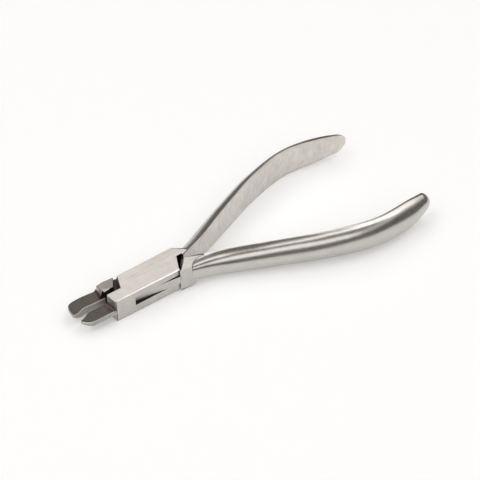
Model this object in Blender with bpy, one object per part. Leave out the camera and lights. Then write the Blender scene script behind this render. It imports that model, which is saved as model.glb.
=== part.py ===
# Crown and shell pliers: a box-joint contouring plier in stainless steel.
#
# The box half is a flat box with a slot through it. It carries the far handle
# and the near jaw. The tongue half passes through that slot and carries the near
# handle and the far jaw. A riveted pin holds the two together, ground flush.
#
# The frame: the origin is on the pivot's axis, in the plane of the box's
# underside. +X runs to the handles, +Y to the far side, +Z up.

import math

import bmesh
import bpy
import numpy as np

MM = 0.001

# Clearances
FIT_GAP = 0.30 * MM          # between pieces that slide or seat on each other

# The box
BOX_WIDTH = 10.70 * MM
BOX_TAPER = 0.60 * MM        # how much narrower the box is at the front, on the far side
BOX_HEIGHT = 8.82 * MM
BOX_FRONT = -19.40 * MM      # the front face at its inner side, where the near jaw starts
FRONT_SET = 0.60 * MM        # how far the front face falls back towards the near side
BLOCK_INNER = -0.45 * MM     # the inner side of the block that carries the near jaw
CHEEK_REAR = 7.00 * MM       # the cheeks' rear corner on the near side
CHEEK_ROOT = 10.20 * MM      # where the rear notch ends, deep in the box
NOTCH_INNER = 0.70 * MM      # the inner side of the rear notch
CHEEK_FRONT = -12.20 * MM    # the cheeks' front corner on the far side
NOTCH_ROOT = -14.55 * MM     # where the front notch ends, deep in the box
NOTCH_ROUND = 1.80 * MM      # rounding of the cheeks' front corner
CORNER_ROUND = 0.70 * MM     # rounding of the box's other upright corners
INNER_ROUND = 0.30 * MM      # rounding of the small inner corners
EDGE_BREAK = 0.15 * MM       # the chamfer on the broad faces' edges

# The slot for the tongue
SLOT_FLOOR = 2.85 * MM       # thickness of the lower cheek
SLOT_HEIGHT = 3.60 * MM
SLOT_FRONT = -11.30 * MM     # the slot's front corner on the near side
SLOT_REAR = 7.80 * MM        # the slot's rear corner on the far side

# The tongue half, in its own frame, where it lies straight in the box
REST_OPENING = math.radians(7.0)
TONGUE_WIDTH = 10.30 * MM
TONGUE_HEEL = -10.90 * MM    # the tongue's front corner on the near side
TONGUE_TOE = 7.45 * MM       # the tongue's rear corner on the far side
TOE_BEVEL = 0.25 * MM
LAP = 1.00 * MM              # how far the tongue runs into the solids at its ends

# The rear shoulder, which carries the near handle
SHOULDER_FRONT = 8.20 * MM   # its outer front corner
SHOULDER_ROOT = 11.80 * MM   # its inner front corner
SHOULDER_INNER = 0.60 * MM
SHOULDER_ROUND = 0.50 * MM

# The front block, which carries the far jaw
BLOCK_REAR = -12.90 * MM     # its outer rear corner
BLOCK_ROOT = -15.00 * MM     # its inner rear corner
BLOCK_FRONT = -20.00 * MM    # its front face at the foot
BLOCK_OUTER = 4.65 * MM      # its outer front corner at the foot
TONGUE_INNER = 0.60 * MM     # its inner side
BLOCK_HEIGHT = 6.20 * MM     # it is lower than the box
BLOCK_DRAFT = 0.60 * MM      # how far its front corners lean in at the top
BLOCK_CROWN = 2.60 * MM      # rounding of its outer side in plan

# The pivot pin, countersunk at both ends and ground flush
PIN_RADIUS = 2.30 * MM
PIN_HEAD_RADIUS = 3.10 * MM
PIN_HEAD_DEPTH = 0.80 * MM
PIN_RIM = 0.15 * MM          # height of the straight rim of its ends

# The jaws
JAW_TOP = 4.90 * MM          # height of the jaws' upper face
JAW_THICKNESS = 2.00 * MM
JAW_TIP_THICKNESS = 0.90 * MM
JAW_TAPER = 4.00 * MM        # length of the thinning towards the tip
JAW_FILLET = 0.80 * MM       # radius between a jaw's upper face and the block
NEAR_JAW_LENGTH = 10.90 * MM
NEAR_JAW_WIDTH = 5.05 * MM
NEAR_JAW_INNER = -0.20 * MM  # its straight inner edge
FAR_JAW_LENGTH = 11.30 * MM
FAR_JAW_WIDTH = 4.60 * MM
FAR_JAW_INNER = 0.15 * MM    # its inner edge at the root
FAR_JAW_BITE = -1.10 * MM    # and where the full tip starts

# The tips: one is hollowed and the other full, so that they nest
TIP_LENGTH = 3.30 * MM       # length of the curved bite
TIP_DEPTH = 1.65 * MM        # how far the near tip is hollowed
TIP_ROUND = 2.60 * MM        # rounding of the outer corners
NEAR_TIP_BLUNT = 2.20 * MM   # width of the near tip's end
NEAR_TIP_SWEEP = 2.40 * MM   # length of its swept outer corner
NEAR_TIP_FALL = 0.55 * MM    # how far that corner draws in
FAR_TIP_SWEEP = 1.50 * MM
FAR_TIP_FALL = 0.20 * MM
FAR_TIP_CREST = 1.20 * MM    # how far off the root's inner edge the tip reaches out most
FAR_TIP_FRONT = 0.50 * MM    # the bite starts this much further back
NOSE_ROUND = 0.80 * MM       # rounding of the tips' inner corners

# The handles
HANDLE_START = 12.50 * MM    # the first section, inside the shoulder
HANDLE_END = 105.20 * MM
HANDLE_BOW = 23.45 * MM      # the widest offset of the flat inner face
HANDLE_HEIGHT = 12.40 * MM
HANDLE_DEPTH = 4.50 * MM
HANDLE_TIP = 3.00 * MM       # length of the rounded end
TIP_SETTING = 0.45           # where in its depth the rounded end closes
NEAR_HANDLE_SET = math.radians(3.9)   # the near handle stands closer to the axis
FAR_SHOULDER_OUT = 11.20 * MM         # the far shoulder's rear corner on the outside
FAR_SHOULDER_IN = 15.30 * MM          # and on the inside
FAR_SHOULDER_STEP = 1.05 * MM         # how far off the notch's side that inner corner lies
NEAR_SHOULDER_OUT = 12.05 * MM        # the same for the near shoulder
NEAR_SHOULDER_IN = 16.00 * MM
NEAR_SHOULDER_STEP = 1.05 * MM

# A handle's sections: the share of its length, the shares of its bow and half
# height, how square it is (2 is half an ellipse), and the depth's share on the
# far and on the near handle. They are ground by hand and not alike.
HANDLE_SECTIONS = [
    (0.000, 0.025, 0.630, 2.90, 0.62, 1.01),
    (0.095, 0.147, 0.710, 2.50, 0.85, 1.09),
    (0.293, 0.479, 0.900, 2.00, 0.99, 0.97),
    (0.502, 0.815, 1.000, 1.87, 0.86, 0.85),
    (0.698, 1.000, 1.000, 2.20, 0.61, 1.01),
    (0.885, 0.913, 0.820, 2.40, 0.76, 1.21),
    (1.000, 0.828, 0.560, 2.20, 0.42, 0.92),
]
STATIONS = 44                # sections along a handle
SECTION_SIDES = 14           # facets round its outer face
ROUND_STEPS = 6              # facets in an upright rounding
PIN_SIDES = 48

HALF_WIDTH = BOX_WIDTH / 2
HALF_TONGUE = TONGUE_WIDTH / 2
MIDDLE = BOX_HEIGHT / 2

STEEL = {
    "box_half": ((0.62, 0.60, 0.57, 1.0), 0.34),
    "tongue_half": ((0.56, 0.55, 0.53, 1.0), 0.30),
    "pivot_pin": ((0.66, 0.64, 0.61, 1.0), 0.28),
}


def clear_scene():
    """Removes every object, so that each run starts empty."""
    for item in list(bpy.data.objects):
        bpy.data.objects.remove(item, do_unlink=True)


def new_object(name, mesh_builder, helper=False):
    """Makes an object from a bmesh; a helper only shapes another object."""
    mesh = bpy.data.meshes.new(name)
    bmesh.ops.recalc_face_normals(mesh_builder, faces=mesh_builder.faces)
    mesh_builder.to_mesh(mesh)
    mesh_builder.free()
    item = bpy.data.objects.new(name, mesh)
    bpy.context.scene.collection.objects.link(item)
    if helper:
        item.hide_render = True
        item.display_type = "WIRE"
    return item


def rounded(corners):
    """Turns (x, y, radius) corners into an outline whose corners are arcs."""
    outline = []
    count = len(corners)
    for i, (x, y, radius) in enumerate(corners):
        here = np.array((x, y))
        if radius <= 0:
            outline.append(here)
            continue
        back = np.array(corners[i - 1][:2]) - here
        ahead = np.array(corners[(i + 1) % count][:2]) - here
        back /= np.linalg.norm(back)
        ahead /= np.linalg.norm(ahead)
        half = math.acos(np.clip(back @ ahead, -1, 1)) / 2
        middle = (back + ahead) / np.linalg.norm(back + ahead)
        centre = here + middle * radius / math.sin(half)
        start = here + back * radius / math.tan(half) - centre
        end = here + ahead * radius / math.tan(half) - centre
        first = math.atan2(start[1], start[0])
        turn = math.remainder(math.atan2(end[1], end[0]) - first, 2 * math.pi)
        for k in range(ROUND_STEPS + 1):
            angle = first + turn * k / ROUND_STEPS
            outline.append(centre + radius * np.array((math.cos(angle), math.sin(angle))))
    return outline


def prism(name, outline, low, high, helper=True):
    """Extrudes a plan outline from one height to another."""
    shape = bmesh.new()
    ring = [shape.verts.new((x, y, low)) for x, y in outline]
    floor = shape.faces.new(ring)
    grown = bmesh.ops.extrude_face_region(shape, geom=[floor])
    lifted = [v for v in grown["geom"] if isinstance(v, bmesh.types.BMVert)]
    bmesh.ops.translate(shape, verts=lifted, vec=(0, 0, high - low))
    return new_object(name, shape, helper)


def stack(name, layers):
    """Joins plan outlines of equal length at rising heights into one solid."""
    shape = bmesh.new()
    rings = [[shape.verts.new((x, y, z)) for x, y in outline] for outline, z in layers]
    for lower, upper in zip(rings, rings[1:]):
        for k in range(len(lower)):
            j = (k + 1) % len(lower)
            shape.faces.new((lower[k], lower[j], upper[j], upper[k]))
    shape.faces.new(rings[0])
    shape.faces.new(rings[-1])
    return new_object(name, shape, helper=True)


def side_prism(name, profile, start_y, slant):
    """Extrudes a side view, given as (x, z) points, across the pliers.

    start_y is where the profile holds, and slant is its shift along x for
    each metre across.
    """
    shape = bmesh.new()
    ring = [shape.verts.new((x - BOX_WIDTH * slant, start_y - BOX_WIDTH, z)) for x, z in profile]
    side = shape.faces.new(ring)
    grown = bmesh.ops.extrude_face_region(shape, geom=[side])
    moved = [v for v in grown["geom"] if isinstance(v, bmesh.types.BMVert)]
    bmesh.ops.translate(shape, verts=moved, vec=(2 * BOX_WIDTH * slant, 2 * BOX_WIDTH, 0))
    return new_object(name, shape, helper=True)


def turned(name, profile, helper=True):
    """Revolves (radius, z) points about the pivot's axis into a closed solid."""
    shape = bmesh.new()
    rings = []
    for radius, z in profile:
        ring = []
        for k in range(PIN_SIDES):
            angle = 2 * math.pi * k / PIN_SIDES
            ring.append(shape.verts.new((radius * math.cos(angle), radius * math.sin(angle), z)))
        rings.append(ring)
    for lower, upper in zip(rings, rings[1:]):
        for k in range(PIN_SIDES):
            j = (k + 1) % PIN_SIDES
            shape.faces.new((lower[k], lower[j], upper[j], upper[k]))
    shape.faces.new(rings[0])
    shape.faces.new(rings[-1])
    return new_object(name, shape, helper)


def combine(item, tool, operation):
    """Adds an exact Boolean of the tool to the item, which then carries the tool."""
    tool.parent = item
    step = item.modifiers.new(operation.lower() + "_" + tool.name, "BOOLEAN")
    step.operation = operation
    step.object = tool
    step.solver = "EXACT"


def break_edges(item):
    """Chamfers the edges of the two broad faces, before any Boolean."""
    step = item.modifiers.new("edge_break", "BEVEL")
    step.width = EDGE_BREAK
    step.segments = 1
    step.limit_method = "WEIGHT"
    weights = item.data.attributes.new("bevel_weight_edge", "FLOAT", "EDGE")
    for edge, weight in zip(item.data.edges, weights.data):
        a, b = (item.data.vertices[i].co for i in edge.vertices)
        weight.value = 1.0 if abs(a.z - b.z) < EDGE_BREAK else 0.0


def smooth_through(rows, shares):
    """Reads a smooth curve through the rows at the given shares of the first column."""
    table = np.array(rows)
    at, values = table[:, 0], table[:, 1:]
    slopes = np.gradient(values, at, axis=0)
    index = np.clip(np.searchsorted(at, shares, side="right") - 1, 0, len(at) - 2)
    width = (at[index + 1] - at[index])[:, None]
    t = ((shares - at[index]) / width[:, 0])[:, None]
    begin = (2 * t**3 - 3 * t**2 + 1) * values[index] + (t**3 - 2 * t**2 + t) * width * slopes[index]
    finish = (3 * t**2 - 2 * t**3) * values[index + 1] + (t**3 - t**2) * width * slopes[index + 1]
    return begin + finish


def handle(name, side, turn):
    """Lofts a bowed handle: flat inside, half a superellipse outside, with a round end.

    side is +1 for the far handle and -1 for the near one, and turn swings it
    about the pivot.
    """
    length = HANDLE_END - HANDLE_START
    round_share = HANDLE_TIP / length
    straight = np.linspace(0, 1 - round_share, STATIONS, endpoint=False)
    tip_angles = np.linspace(0, math.radians(82), ROUND_STEPS + 2)
    shares = np.concatenate([straight, 1 - round_share * (1 - np.sin(tip_angles))])
    shrink = np.concatenate([np.ones(STATIONS), np.cos(tip_angles)])
    bow, height, square, far_depth, near_depth = smooth_through(HANDLE_SECTIONS, shares).T
    x = HANDLE_START + shares * length
    y = bow * HANDLE_BOW
    half_height = height * HANDLE_HEIGHT / 2 * shrink
    full_depth = (far_depth if side > 0 else near_depth) * HANDLE_DEPTH
    slope = np.arctan(np.gradient(y, x))
    # the rounded end closes inside the section's depth, not on its inner face
    inset = full_depth * (1 - shrink) * TIP_SETTING
    shape = bmesh.new()
    rings = []
    for i in range(len(x)):
        across = np.array((-math.sin(slope[i]), math.cos(slope[i])))
        power = 2 / square[i]
        ring = []
        for k in range(SECTION_SIDES + 1):
            angle = math.pi * (k / SECTION_SIDES - 0.5)
            rise = math.copysign(abs(math.sin(angle)) ** power, angle)
            out = inset[i] + full_depth[i] * shrink[i] * max(math.cos(angle), 0) ** power
            px, py = np.array((x[i], y[i])) + across * out
            py *= side
            cx = px * math.cos(turn) - py * math.sin(turn)
            cy = px * math.sin(turn) + py * math.cos(turn)
            ring.append(shape.verts.new((cx, cy, MIDDLE + half_height[i] * rise)))
        rings.append(ring)
    sides = SECTION_SIDES + 1
    for lower, upper in zip(rings, rings[1:]):
        for k in range(sides):
            j = (k + 1) % sides
            shape.faces.new((lower[k], lower[j], upper[j], upper[k]))
    shape.faces.new(rings[0])
    shape.faces.new(rings[-1])
    return new_object(name, shape, helper=True)


def jaw_side(name, tip_x, face_x, start_y, slant):
    """The jaws' side view: thinning underneath to the tip, with a fillet at the root.

    face_x is the block's front face at start_y, and slant is how it leans.
    """
    low = JAW_TOP - JAW_THICKNESS
    root_x = face_x + LAP
    profile = [(root_x, low), (tip_x + JAW_TAPER, low)]
    for k in range(1, ROUND_STEPS + 1):
        share = k / ROUND_STEPS
        x = tip_x + JAW_TAPER * (1 - share)
        profile.append((x, low + (JAW_THICKNESS - JAW_TIP_THICKNESS) * share**2))
    profile += [(tip_x - LAP, JAW_TOP - JAW_TIP_THICKNESS), (tip_x - LAP, JAW_TOP)]
    for k in range(ROUND_STEPS + 1):
        angle = math.pi / 2 * k / ROUND_STEPS
        x = face_x - JAW_FILLET * (1 - math.sin(angle))
        profile.append((x, JAW_TOP + JAW_FILLET * (1 - math.cos(angle))))
    profile.append((root_x, JAW_TOP + JAW_FILLET))
    return side_prism(name, profile, start_y, slant)


def bite(start_x, start_y, depth, length):
    """The tips' curved bite: an S from the straight inner edge to the hollow."""
    points = []
    for k in range(ROUND_STEPS * 2 + 1):
        share = k / (ROUND_STEPS * 2)
        fall = math.sin(math.pi / 2 * min(1.0, share * 1.25))
        points.append((start_x - length * share, start_y - depth * fall, 0))
    return points


def near_jaw():
    """The jaw of the box half, with its hollowed tip."""
    root = BOX_FRONT + FRONT_SET + CORNER_ROUND
    tip_x = BOX_FRONT - NEAR_JAW_LENGTH
    outer = NEAR_JAW_INNER - NEAR_JAW_WIDTH
    corners = [
        (root, outer, 0),
        (root, NEAR_JAW_INNER, 0),
    ]
    corners += bite(tip_x + TIP_LENGTH, NEAR_JAW_INNER, TIP_DEPTH, TIP_LENGTH)
    corners += [
        (tip_x + NOSE_ROUND / 2, outer + NEAR_TIP_BLUNT, NOSE_ROUND),
        (tip_x + NEAR_TIP_SWEEP, outer + NEAR_TIP_FALL, TIP_ROUND),
    ]
    blade = prism("near_jaw_plan", rounded(corners), 0, BOX_HEIGHT)
    slant = -FRONT_SET / (HALF_WIDTH + BLOCK_INNER)
    combine(blade, jaw_side("near_jaw_side", tip_x, BOX_FRONT, BLOCK_INNER, slant), "INTERSECT")
    return blade


def far_jaw():
    """The jaw of the tongue half, whose full tip lies in the other's hollow."""
    root = BLOCK_FRONT + LAP
    tip_x = BLOCK_FRONT - FAR_JAW_LENGTH
    outer = FAR_JAW_INNER + FAR_JAW_WIDTH
    full = TIP_DEPTH - FIT_GAP
    corners = [
        (root, FAR_JAW_INNER, 0),
    ]
    corners += bite(tip_x + TIP_LENGTH + FAR_TIP_FRONT, FAR_JAW_BITE, full, TIP_LENGTH)
    corners += [
        (tip_x, FAR_JAW_BITE - full, INNER_ROUND),
        (tip_x, FAR_JAW_INNER + FAR_TIP_CREST, TIP_ROUND - CORNER_ROUND),
        (tip_x + FAR_TIP_SWEEP, outer - FAR_TIP_FALL, TIP_ROUND),
        (root, outer, 0),
    ]
    blade = prism("far_jaw_plan", rounded(corners), 0, BOX_HEIGHT)
    combine(blade, jaw_side("far_jaw_side", tip_x, BLOCK_FRONT, TONGUE_INNER, 0), "INTERSECT")
    return blade


def pin_profile(gap):
    """The pin's profile with its countersunk ends, grown by a gap for its hole."""
    head = PIN_HEAD_RADIUS + gap
    shaft = PIN_RADIUS + gap
    return [
        (head, -gap),
        (head, PIN_RIM),
        (shaft, PIN_HEAD_DEPTH),
        (shaft, BOX_HEIGHT - PIN_HEAD_DEPTH),
        (head, BOX_HEIGHT - PIN_RIM),
        (head, BOX_HEIGHT + gap),
    ]


def box_half():
    """The box with its slot, the far handle and the near jaw."""
    outline = rounded([
        (BOX_FRONT + FRONT_SET, -HALF_WIDTH, CORNER_ROUND),
        (CHEEK_REAR, -HALF_WIDTH, CORNER_ROUND),
        (CHEEK_ROOT, NOTCH_INNER, 0),
        (HANDLE_START, NOTCH_INNER, 0),
        (FAR_SHOULDER_IN, NOTCH_INNER + FAR_SHOULDER_STEP, 0),
        (FAR_SHOULDER_OUT, HALF_WIDTH + BOX_TAPER / 2, 0),
        (CHEEK_FRONT, HALF_WIDTH - BOX_TAPER / 2, NOTCH_ROUND),
        (NOTCH_ROOT, BLOCK_INNER, INNER_ROUND),
        (BOX_FRONT, BLOCK_INNER, 0),
    ])
    body = prism("box_half", outline, 0, BOX_HEIGHT, helper=False)
    break_edges(body)
    slot = prism("slot", [
        (SLOT_FRONT, -BOX_WIDTH),
        (SLOT_FRONT, -HALF_WIDTH),
        (NOTCH_ROOT, BLOCK_INNER),
        (NOTCH_ROOT, BOX_WIDTH),
        (SLOT_REAR, BOX_WIDTH),
        (SLOT_REAR, HALF_WIDTH),
        (CHEEK_ROOT, NOTCH_INNER),
        (CHEEK_ROOT, -BOX_WIDTH),
    ], SLOT_FLOOR, SLOT_FLOOR + SLOT_HEIGHT)
    combine(body, slot, "DIFFERENCE")
    combine(body, turned("pin_hole", pin_profile(FIT_GAP)), "DIFFERENCE")
    combine(body, handle("far_handle", 1, 0.0), "UNION")
    combine(body, near_jaw(), "UNION")
    return body


def front_block():
    """The block that carries the far jaw, widest at its middle height."""
    top_front = BLOCK_FRONT + BLOCK_DRAFT
    foot = rounded([
        (BLOCK_REAR, HALF_TONGUE, INNER_ROUND),
        (BLOCK_FRONT + BLOCK_CROWN, HALF_TONGUE, BLOCK_CROWN),
        (BLOCK_FRONT, BLOCK_OUTER, INNER_ROUND),
        (BLOCK_FRONT, TONGUE_INNER, 0),
        (BLOCK_ROOT, TONGUE_INNER, INNER_ROUND),
    ])
    top = rounded([
        (BLOCK_REAR, HALF_TONGUE, INNER_ROUND),
        (BLOCK_FRONT + BLOCK_CROWN, HALF_TONGUE - INNER_ROUND, BLOCK_CROWN),
        (top_front - INNER_ROUND, BLOCK_OUTER - BLOCK_DRAFT, INNER_ROUND),
        (top_front, TONGUE_INNER, 0),
        (BLOCK_ROOT, TONGUE_INNER, INNER_ROUND),
    ])
    half = BLOCK_HEIGHT / 2
    return stack("front_block", [(top, MIDDLE - half), (foot, MIDDLE), (top, MIDDLE + half)])


def tongue_half():
    """The tongue with its shoulder and block, the near handle and the far jaw."""
    low = SLOT_FLOOR + FIT_GAP
    high = SLOT_FLOOR + SLOT_HEIGHT - FIT_GAP
    body = prism("tongue_half", [
        (SHOULDER_ROOT, 0),
        (CHEEK_ROOT - FIT_GAP / 2, 0),
        (TONGUE_TOE, HALF_TONGUE - TOE_BEVEL),
        (TONGUE_TOE - 2 * TOE_BEVEL, HALF_TONGUE),
        (BLOCK_REAR - LAP, HALF_TONGUE),
        (BLOCK_ROOT - LAP, TONGUE_INNER),
        (BLOCK_ROOT, TONGUE_INNER),
        (TONGUE_HEEL, -HALF_TONGUE),
        (SHOULDER_FRONT + LAP, -HALF_TONGUE),
        (SHOULDER_ROOT + LAP, -LAP),
    ], low, high, helper=False)
    shoulder = prism("shoulder", rounded([
        (SHOULDER_FRONT, -HALF_TONGUE, INNER_ROUND),
        (NEAR_SHOULDER_OUT, -HALF_TONGUE, 0),
        (NEAR_SHOULDER_IN, SHOULDER_INNER - NEAR_SHOULDER_STEP, 0),
        (SHOULDER_ROOT, SHOULDER_INNER, SHOULDER_ROUND),
    ]), 0, BOX_HEIGHT)
    break_edges(shoulder)
    combine(body, shoulder, "UNION")
    combine(body, front_block(), "UNION")
    combine(body, handle("near_handle", -1, NEAR_HANDLE_SET), "UNION")
    combine(body, far_jaw(), "UNION")
    hole = turned("tongue_hole", [(PIN_RADIUS + FIT_GAP, 0), (PIN_RADIUS + FIT_GAP, BOX_HEIGHT)])
    combine(body, hole, "DIFFERENCE")
    return body


def finish(item, colour, roughness):
    """Gives a piece its own steel and smooth shading across its round faces."""
    steel = bpy.data.materials.new(item.name)
    steel.use_nodes = True
    shader = steel.node_tree.nodes["Principled BSDF"]
    shader.inputs["Base Color"].default_value = colour
    shader.inputs["Metallic"].default_value = 1.0
    shader.inputs["Roughness"].default_value = roughness
    item.data.materials.append(steel)
    item.data.shade_smooth()
    item.data.set_sharp_from_angle(angle=math.radians(30))


def main():
    clear_scene()
    box = box_half()
    tongue = tongue_half()
    pin = turned("pivot_pin", pin_profile(0), helper=False)
    tongue.rotation_euler.z = -REST_OPENING
    for piece in (box, tongue, pin):
        colour, roughness = STEEL[piece.name]
        finish(piece, colour, roughness)


main()
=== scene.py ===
# %% [markdown]
# # Crown and shell pliers
# These pliers shape dental crowns. They are three steel pieces: a box with a slot
# through it, a tongue that passes through the slot, and a rivet that holds both. The
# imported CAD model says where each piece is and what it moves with. This lesson dresses
# it: finer surfaces worked out with numpy, brushed steel, a pale studio and a camera.
# Loading the frame comes first, because every piece is placed by its numbers.

# %% The frame
import math

import bpy
import numpy as np
from mathutils import Matrix


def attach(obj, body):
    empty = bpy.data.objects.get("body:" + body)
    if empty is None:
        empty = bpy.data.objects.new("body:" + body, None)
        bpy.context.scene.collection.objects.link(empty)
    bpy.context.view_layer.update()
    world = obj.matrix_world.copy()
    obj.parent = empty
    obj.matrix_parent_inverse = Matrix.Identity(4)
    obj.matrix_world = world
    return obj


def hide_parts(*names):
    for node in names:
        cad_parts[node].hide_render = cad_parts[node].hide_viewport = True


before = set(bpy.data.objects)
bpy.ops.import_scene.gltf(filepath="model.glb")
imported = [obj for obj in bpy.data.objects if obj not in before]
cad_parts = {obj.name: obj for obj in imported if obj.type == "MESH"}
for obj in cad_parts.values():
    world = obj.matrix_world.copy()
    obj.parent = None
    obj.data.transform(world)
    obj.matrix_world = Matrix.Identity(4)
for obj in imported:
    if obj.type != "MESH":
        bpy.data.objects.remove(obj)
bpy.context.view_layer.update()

# %% [markdown]
# Lengths are easier to read in millimetres, as on a workshop drawing, and Blender wants
# metres. So every shape below is worked out in millimetres and scaled once, where its
# points go into a mesh. The middle plane of the pliers lies half a box above the origin.

# %% Measures of the whole
MM = 0.001
BOX_HEIGHT = 8.82
MIDDLE = BOX_HEIGHT / 2
REST_OPENING = math.radians(7.0)      # how far the tongue side is turned open at rest

# %% [markdown]
# The camera stands where the photographer's stood. A straight box seen in perspective
# gives that away, so its place was worked out from the box's edges: how far round, how
# high and how far off. The lens follows from how large the pliers are in the frame.

# %% Camera
CAMERA_AIM = (35.49, -1.80, MIDDLE)   # where the lens axis meets the middle plane
CAMERA_AZIMUTH = math.radians(38.02)  # the view's heading, from +Y towards +X
CAMERA_HEIGHT = math.radians(40.55)
CAMERA_DISTANCE = 408.7
CAMERA_ROLL = math.radians(-0.1)
LENS = 86.84
SENSOR_WIDTH = 36


def camera_axes(azimuth, height, roll):
    """The camera's right, up and forward directions: heading and height, then the roll."""
    right = np.array((math.cos(azimuth), -math.sin(azimuth), 0.0))
    away = np.array((math.sin(azimuth), math.cos(azimuth), 0.0))
    forward = away * math.cos(height) - np.array((0, 0, math.sin(height)))
    up = np.cross(right, forward)
    turned_right = right * math.cos(roll) + up * math.sin(roll)
    turned_up = up * math.cos(roll) - right * math.sin(roll)
    return turned_right, turned_up, forward


def place(item, axes, position):
    """Puts an item at a position in metres, its own x, y and z along the three axes."""
    matrix = np.eye(4)
    matrix[:3, :3] = np.stack(axes, axis=1)
    matrix[:3, 3] = position
    item.matrix_world = Matrix(matrix.tolist())


right, up, forward = camera_axes(CAMERA_AZIMUTH, CAMERA_HEIGHT, CAMERA_ROLL)
camera_data = bpy.data.cameras.new("camera")
camera_data.lens = LENS
camera_data.sensor_width = SENSOR_WIDTH
camera_data.clip_start = 0.01
camera_data.clip_end = 50
camera = bpy.data.objects.new("camera", camera_data)
bpy.context.scene.collection.objects.link(camera)
stand = (np.array(CAMERA_AIM) - forward * CAMERA_DISTANCE) * MM
place(camera, [right, up, -forward], stand)
bpy.context.scene.camera = camera
print("camera at", np.round(stand, 4))

# %% [markdown]
# A few small helpers make every mesh. A grid of points whose columns close into a ring
# becomes quads by joining each point with its neighbours, and the first and last rings
# are closed by a flat lid. The volume's sign tells whether the faces point outwards.

# %% Mesh helpers


def ring_faces(rows, columns):
    """Quads of a grid closed round its columns, with a lid on the first and last row."""
    here = np.arange(columns)
    after = (here + 1) % columns
    base = (np.arange(rows - 1) * columns)[:, None]
    quads = np.stack(
        [base + here, base + after, base + columns + after, base + columns + here], axis=-1
    )
    last = (rows - 1) * columns
    return quads.reshape(-1, 4).tolist() + [here[::-1].tolist(), (here + last).tolist()]


def volume_of(points, faces):
    """Signed volume: each face as a fan of triangles, each with the origin a thin pyramid."""
    total = 0.0
    for size in {len(face) for face in faces}:
        same = np.array([face for face in faces if len(face) == size])
        corners = points[same]
        first = corners[:, :1]
        fan = np.cross(corners[:, 1:-1] - first, corners[:, 2:] - first)
        total += np.sum(fan * first) / 6
    return total


def solid(name, grid):
    """Makes a closed object from a (rows, columns, 3) array of points in millimetres."""
    rows, columns, _ = grid.shape
    points = grid.reshape(-1, 3)
    faces = ring_faces(rows, columns)
    if volume_of(points, faces) < 0:
        faces = [face[::-1] for face in faces]
    mesh = bpy.data.meshes.new(name)
    mesh.from_pydata((points * MM).tolist(), [], faces)
    mesh.update()
    item = bpy.data.objects.new(name, mesh)
    bpy.context.scene.collection.objects.link(item)
    return item


def swung(grid, angle):
    """Turns points about the pivot's upright axis."""
    c, s = math.cos(angle), math.sin(angle)
    turn = np.array(((c, -s, 0), (s, c, 0), (0, 0, 1)))
    return grid @ turn.T


# %% [markdown]
# The box, the shoulder and the front block are milled from bar: a plan outline with
# rounded corners, raised to a height, with its sharp edges broken. The outline is a list
# of corners and their radii. Each broken edge is a narrow chamfer. On the box the upper
# one lies flatter than 45 degrees and the lower one is as much steeper.

# %% Milled blocks
ARC_STEPS = 8
HOLD = 0.04                           # a narrow band beside a rounding, keeps flats flat


def rounded(corners):
    """An outline from (x, y, radius) corners: each becomes an arc that touches both sides."""
    corner = np.array(corners, dtype=float)
    spot, radius = corner[:, :2], corner[:, 2]
    back = np.roll(spot, 1, axis=0) - spot
    ahead = np.roll(spot, -1, axis=0) - spot
    back /= np.linalg.norm(back, axis=1)[:, None]
    ahead /= np.linalg.norm(ahead, axis=1)[:, None]
    outline = []
    for p, r, b, a in zip(spot, radius, back, ahead):
        if r <= 0:
            outline += [p + b * HOLD, p, p + a * HOLD]
            continue
        half = math.acos(np.clip(b @ a, -1, 1)) / 2
        reach = r / math.tan(half)
        centre = p + (b + a) / np.linalg.norm(b + a) * r / math.sin(half)
        start, end = p + b * reach - centre, p + a * reach - centre
        first = math.atan2(start[1], start[0])
        turn = math.remainder(math.atan2(end[1], end[0]) - first, 2 * math.pi)
        angles = first + turn * np.linspace(0, 1, ARC_STEPS + 1)
        arc = centre + r * np.stack([np.cos(angles), np.sin(angles)], axis=1)
        outline += [p + b * (reach + HOLD), *arc, p + a * (reach + HOLD)]
    return np.array(outline)


def drawn_in(outline, distance):
    """Moves a closed outline inwards: each point along the mitre of its two sides.

    The sum of x times the next y less the next x times y tells which way round it runs.
    """
    along = np.roll(outline, -1, axis=0) - outline
    along /= np.linalg.norm(along, axis=1)[:, None]
    normal = np.stack([-along[:, 1], along[:, 0]], axis=1)
    x, y = outline.T
    if np.sum(x * np.roll(y, -1) - np.roll(x, -1) * y) < 0:
        normal = -normal
    before = np.roll(normal, 1, axis=0)
    mitre = normal + before
    mitre /= np.sum(mitre * normal, axis=1)[:, None]
    return outline + mitre * distance


def edge_profile(low, high, edge, drop):
    """Insets and heights of a side wall from below.

    The upper chamfer goes in by edge over a rise of drop, and the lower one by drop over
    a rise of edge.
    """
    insets = np.array([drop + HOLD, drop, 0, 0, 0, 0, edge, edge + HOLD])
    heights = np.array([low, low, low + edge, low + edge + HOLD,
                        high - drop - HOLD, high - drop, high, high])
    return insets, heights


def milled(outline, low, high, edge, drop):
    """A plan outline raised from low to high, its broad edges broken."""
    insets, heights = edge_profile(low, high, edge, drop)
    rings = [np.column_stack([drawn_in(outline, i), np.full(len(outline), z)])
             for i, z in zip(insets, heights)]
    return np.array(rings)


def side_prism(profile, near_y, far_y, lean=0.0):
    """A side outline of (x, z) points carried across from near_y to far_y."""
    flat = np.array(profile, dtype=float)
    rings = [np.column_stack([flat[:, 0] + lean * (y - near_y), np.full(len(flat), y), flat[:, 1]])
             for y in (near_y, far_y)]
    return np.array(rings)


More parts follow.
